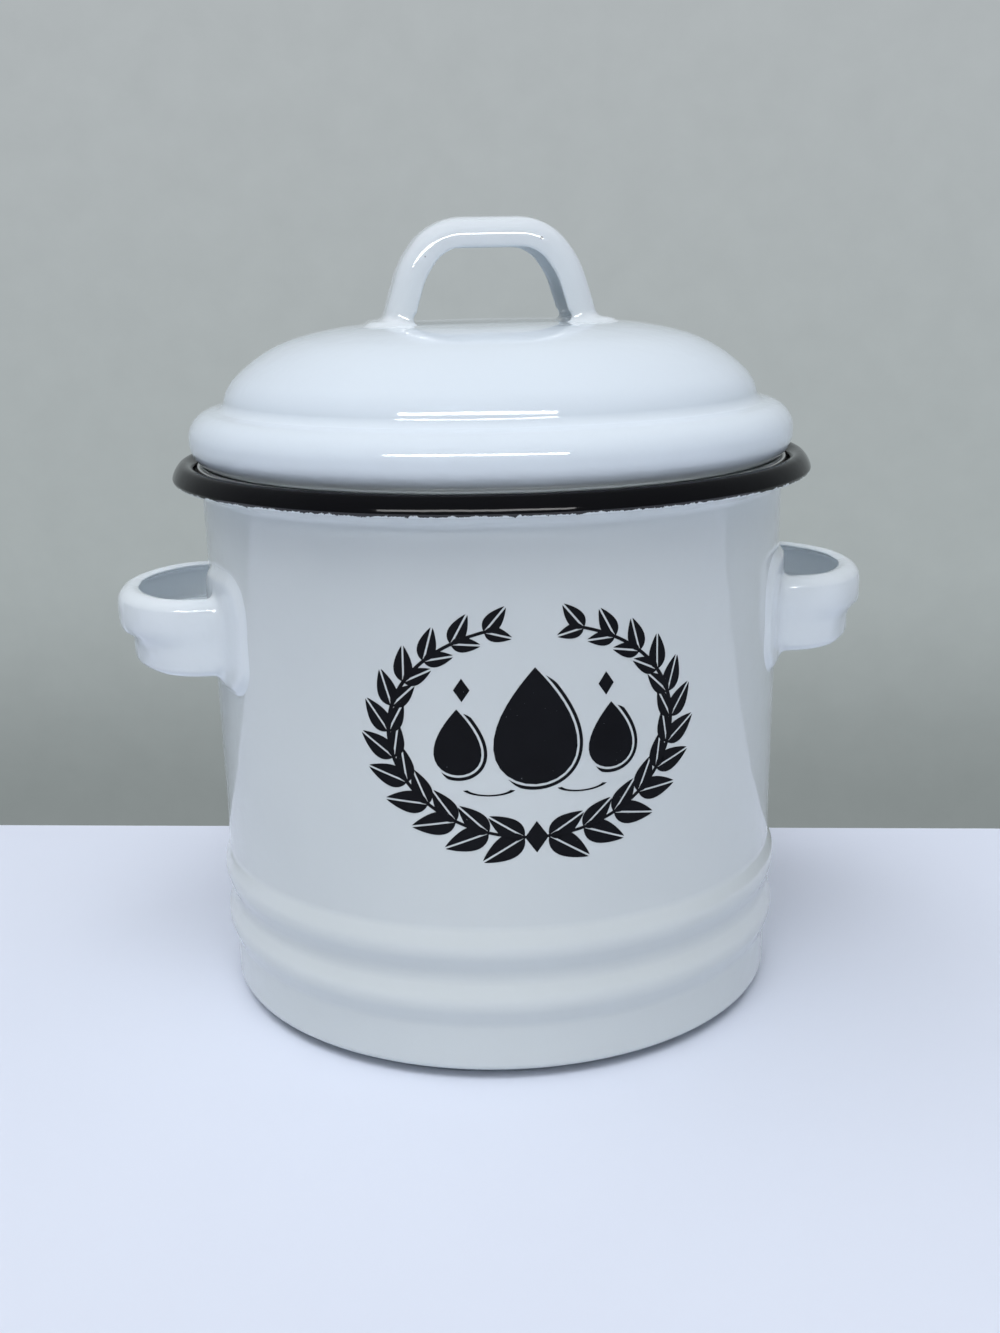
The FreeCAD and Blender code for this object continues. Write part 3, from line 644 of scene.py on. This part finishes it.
def ink_finish():
    """Black print, with a few bare pinpricks."""
    material, tree, shader = principled("print_ink", IOR=BLACK_IOR, Specular_IOR_Level=BLACK_SPECULAR)
    where = object_place(tree)
    bare = between(tree, noise(tree, where, *INK_PRICKS), *PRICK_RANGE)
    tone = mixed(tree, noise(tree, where, *INK_TONE), *INK_TONES)
    tree.links.new(mixed(tree, bare, tone, INK_BARE), shader.inputs["Base Color"])
    rough = maths(tree, "MULTIPLY_ADD", noise(tree, where, *INK_SMEARS), *INK_ROUGH)
    tree.links.new(rough, shader.inputs["Roughness"])
    return material


def steel_finish():
    """Stainless steel, spun: fine rings of brushing round the Z axis."""
    material, tree, shader = principled("stainless_steel", Metallic=1.0, Anisotropic=0.5)
    where = object_place(tree)
    parts = add(tree, "SeparateXYZ", {0: where}).outputs
    across = maths(tree, "SQRT", maths(tree, "ADD", maths(tree, "MULTIPLY", parts["X"], parts["X"]),
                                       maths(tree, "MULTIPLY", parts["Y"], parts["Y"])))
    rings = add(tree, "CombineXYZ", {0: across, 1: parts["Z"]}).outputs[0]
    fine = noise(tree, rings, *FINE_RINGS)
    broad = noise(tree, rings, *BROAD_RINGS)
    tree.links.new(mixed(tree, broad, *STEEL_TONES), shader.inputs["Base Color"])
    tree.links.new(maths(tree, "MULTIPLY_ADD", fine, *STEEL_ROUGH), shader.inputs["Roughness"])
    bump = add(tree, "Bump", {"Strength": 0.35, "Distance": BRUSH_HEIGHT * MM, "Height": fine})
    tree.links.new(bump.outputs[0], shader.inputs["Normal"])
    round_z = add(tree, "Tangent", direction_type="RADIAL", axis="Z")
    tree.links.new(round_z.outputs[0], shader.inputs["Tangent"])
    return material


POT_ENAMEL = pot_finish()
RIM_ENAMEL = rim_finish()
# The lid's white is set lighter and bluer than the pot's as painted light.
LID_ENAMEL = enamel("lid_enamel", LID_WHITES_LIT, 0.4)[0]
HANDLE_ENAMEL = handle_finish()
INK = ink_finish()
STAINLESS = steel_finish()

# ---------------------------------------------------------------- the container

pot = turned("pot", pot_section(), False, "root", POT_ENAMEL)
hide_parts("pot_body")

# The roll above the painted edge has the rim's own finish.
pot.data.materials.append(RIM_ENAMEL)
for face in pot.data.polygons:
    face.material_index = int(face.center.z > RIM_EDGE * MM and face.center.xy.length > MOUTH_RADIUS * MM)

skin = side_handle_skin()
opposite = skin.copy()
bmesh.ops.rotate(opposite, verts=opposite.verts, cent=(0, 0, 0), matrix=Matrix.Rotation(math.pi, 3, "Z"))
right = new_piece("handle_right", skin, "root", HANDLE_ENAMEL, 180)
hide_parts("right_handle")
left = new_piece("handle_left", opposite, "root", HANDLE_ENAMEL, 180)
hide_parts("left_handle")

new_piece("front_print", front_print(), "root", INK)

lid = turned("lid", lid_section(), False, "lid", LID_ENAMEL)
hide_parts("lid_shell")
arch = new_piece("handle_lid", lid_handle_skin(), "lid", HANDLE_ENAMEL, 180)
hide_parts("lid_handle")

cup = turned("strainer", CUP_SECTION, True, "strainer", STAINLESS)
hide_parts("strainer_cup")
ring = turned("clamp_ring", RING_SECTION, True, "strainer", STAINLESS)
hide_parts("screen_ring")
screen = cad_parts["strainer_screen"].data
screen.materials.clear()
screen.materials.append(STAINLESS)

# ---------------------------------------------------------------- setting and camera

POT_TURN = math.radians(5.5)
CAMERA_DISTANCE, CAMERA_HEIGHT = 319.8, 149.7
CAMERA_PITCH, CAMERA_ROLL, CAMERA_YAW = 0.25979, -0.01941, 0.00291    # radians
CAMERA_LENS, CAMERA_SENSOR, CAMERA_NEAREST = 41.10, 36, 10
TABLE_FRONT, TABLE_DEPTH, TABLE_HALF, TABLE_DROP = 1500, 5000, 3000, 1.8
TABLE_TONES = (0.68, 0.725, 0.825, 1), (0.715, 0.76, 0.855, 1)
WALL_BACK, WALL_TURN, WALL_HALF = 77.0, math.radians(-3.8), 3000

# The wall's tones from the table up, darker near the table as painted shade, and the heights between which
# one passes into the next.
WALL_LOW, WALL_MIDDLE = (0.240, 0.268, 0.268, 1), (0.372, 0.412, 0.416, 1)
ROOM_SEEN = (0.435, 0.468, 0.480, 1)
LOW_TO_MIDDLE, MIDDLE_TO_HIGH = (2, 75), (50, 240)

LAMP_AIM, LAMP_DISTANCE, LAMP_ELEVATION, LAMP_LONG = 110, 1200, math.radians(30), 1400
ROOM = Matrix.Rotation(-POT_TURN, 4, "Z")


def place(thing, matrix):
    bpy.context.scene.collection.objects.link(thing)
    thing.matrix_world = matrix


def set_camera():
    data = bpy.data.cameras.new("camera")
    data.lens = CAMERA_LENS
    data.sensor_width = CAMERA_SENSOR
    data.clip_start = CAMERA_NEAREST * MM
    camera = bpy.data.objects.new("camera", data)
    forward = Vector((math.sin(CAMERA_YAW) * math.cos(CAMERA_PITCH),
                      math.cos(CAMERA_YAW) * math.cos(CAMERA_PITCH), -math.sin(CAMERA_PITCH)))
    level = Vector((math.cos(CAMERA_YAW), -math.sin(CAMERA_YAW), 0))
    up = level.cross(forward)
    right = math.cos(CAMERA_ROLL) * level + math.sin(CAMERA_ROLL) * up
    up = right.cross(forward)
    turn = Matrix((right, up, -forward)).transposed().to_4x4()
    spot = Matrix.Translation(Vector((0, -CAMERA_DISTANCE, CAMERA_HEIGHT)) * MM)
    place(camera, ROOM @ spot @ turn)
    bpy.context.scene.camera = camera


def stage_plane(name, half_x, half_y, matrix, material):
    mesh = bmesh.new()
    bmesh.ops.create_grid(mesh, x_segments=1, y_segments=1, size=1,
                          matrix=Matrix.Diagonal((half_x, half_y, 1, 1)))
    data = bpy.data.meshes.new(name)
    mesh.to_mesh(data)
    mesh.free()
    data.materials.append(material)
    plane = bpy.data.objects.new(name, data)
    place(plane, matrix)
    return plane


def floor_paint():
    material, tree, shader = principled("floor_paint", Roughness=0.55)
    where = object_place(tree)
    tone = mixed(tree, noise(tree, where, *FLOOR_MOTTLE), *TABLE_TONES)
    tree.links.new(tone, shader.inputs["Base Color"])
    return material


def wall_paint_and_shade():
    """A grey-green wall that the camera and reflections see, darker towards the table as painted shade,
    open from behind.
    """
    material = bpy.data.materials.new("wall_paint_and_shade")
    material.use_nodes = True
    tree = material.node_tree
    tree.nodes.remove(tree.nodes["Principled BSDF"])
    where = object_place(tree)
    height = add(tree, "SeparateXYZ", {0: where}).outputs["Y"]
    middle = between(tree, height, *(level * MM for level in LOW_TO_MIDDLE))
    high = between(tree, height, *(level * MM for level in MIDDLE_TO_HIGH))
    # The darker tones low on the wall are painted shade.
    tone = mixed(tree, high, mixed(tree, middle, WALL_LOW, WALL_MIDDLE), ROOM_SEEN)
    mottle = maths(tree, "MULTIPLY_ADD", noise(tree, where, *WALL_MOTTLE), *WALL_GLOW)
    glow = add(tree, "Emission", {"Color": tone, "Strength": mottle})
    clear = add(tree, "BsdfTransparent")
    behind = add(tree, "NewGeometry").outputs["Backfacing"]
    either = add(tree, "MixShader", {0: behind, 1: glow.outputs[0], 2: clear.outputs[0]})
    tree.links.new(either.outputs[0], tree.nodes["Material Output"].inputs["Surface"])
    return material


def strip_lamp(name, power, tall, azimuth):
    """A long lamp that faces the pot from in front and above."""
    data = bpy.data.lights.new(name, "AREA")
    data.shape = "RECTANGLE"
    data.size, data.size_y = LAMP_LONG * MM, tall * MM
    data.energy = power
    light = bpy.data.objects.new(name, data)
    level = math.cos(LAMP_ELEVATION)
    toward = Vector((math.cos(azimuth) * level, math.sin(azimuth) * level, math.sin(LAMP_ELEVATION)))
    spot = (Vector((0, 0, LAMP_AIM)) + toward * LAMP_DISTANCE) * MM
    place(light, ROOM @ Matrix.LocRotScale(spot, toward.to_track_quat("Z", "Y"), None))
    return light


# Brightness of the room by elevation in degrees: a broad soft light overhead, in front and to the left.
# The camera and reflections see a plain grey room instead.
ROOM_LIGHT = {
    "front": ((40, 0.0), (57, 3.85), (72, 8.2), (84, 0.0)),
    "left": ((40, 0.0), (62, 3.6), (84, 0.0)),
    "right": ((22, 0.5), (40, 0.0), (62, 0.8), (84, 0.0)),
    "back": ((22, 0.87), (40, 0.0)),
}
ROOM_TINT, TINY = (0.98, 1.0, 1.05, 1), 1e-6


def brightness(tree, elevation, stops):
    """A ramp over elevation; the colours of a ramp end at 1, so the peak multiplies it."""
    peak = max(value for _, value in stops)
    ramp = add(tree, "ValToRGB", {0: elevation})
    elements = ramp.color_ramp.elements
    elements[0].position, elements[1].position = stops[0][0] / 90, stops[-1][0] / 90
    for degrees, _ in stops[1:-1]:
        elements.new(degrees / 90)
    for element, (_, value) in zip(elements, stops):
        element.color = (value / peak,) * 3 + (1,)
    return maths(tree, "MULTIPLY", ramp.outputs["Color"], peak)


def set_world():
    """The light of each side of the room, mixed by how far a direction points that way."""
    world = bpy.data.worlds.new("room")
    bpy.context.scene.world = world
    world.use_nodes = True
    tree = world.node_tree
    direction = add(tree, "TexCoord").outputs["Generated"]
    around = add(tree, "VectorRotate", {"Vector": direction, "Angle": POT_TURN}, rotation_type="Z_AXIS")
    x, y, z = add(tree, "SeparateXYZ", {0: around.outputs[0]}).outputs
    elevation = maths(tree, "DIVIDE", maths(tree, "ARCSINE", z), math.pi / 2)
    level = maths(tree, "MULTIPLY_ADD", x, x, maths(tree, "MULTIPLY_ADD", y, y, TINY))
    total = 0.0
    for side, along, sign in (("front", y, -1), ("back", y, 1), ("left", x, -1), ("right", x, 1)):
        reach = maths(tree, "MAXIMUM", maths(tree, "MULTIPLY", along, sign), 0.0)
        share = maths(tree, "DIVIDE", maths(tree, "MULTIPLY", reach, reach), level)
        total = maths(tree, "MULTIPLY_ADD", share, brightness(tree, elevation, ROOM_LIGHT[side]), total)
    lit = tree.nodes["Background"]
    lit.inputs["Color"].default_value = ROOM_TINT
    tree.links.new(total, lit.inputs["Strength"])
    seen = add(tree, "Background", {"Color": ROOM_SEEN})
    path = add(tree, "LightPath").outputs
    mirrored = maths(tree, "MAXIMUM", path["Is Glossy Ray"], path["Is Transmission Ray"])
    direct = maths(tree, "MAXIMUM", path["Is Camera Ray"], mirrored)
    either = add(tree, "MixShader", {0: direct, 1: lit.outputs[0], 2: seen.outputs[0]})
    tree.links.new(either.outputs[0], tree.nodes["World Output"].inputs["Surface"])


set_camera()
table_spot = Matrix.Translation(Vector((0, TABLE_DEPTH / 2 - TABLE_FRONT, -TABLE_DROP)) * MM)
stage_plane("floor", TABLE_HALF * MM, TABLE_DEPTH / 2 * MM, ROOM @ table_spot, floor_paint())
upright = Matrix.Rotation(WALL_TURN, 4, "Z") @ Matrix.Rotation(math.pi / 2, 4, "X")
wall_spot = Matrix.Translation((0, WALL_BACK * MM, 0))
back = stage_plane("back_wall", WALL_HALF * MM, WALL_HALF * MM, ROOM @ wall_spot @ upright, wall_paint_and_shade())
back.visible_diffuse = False
back.visible_shadow = False
strip_lamp("strip", power=2.2, tall=50, azimuth=math.radians(-100)).visible_glossy = False
strip_lamp("glint", power=18.0, tall=140, azimuth=math.radians(-96)).visible_diffuse = False
set_world()
bpy.context.scene.view_settings.view_transform = "Standard"
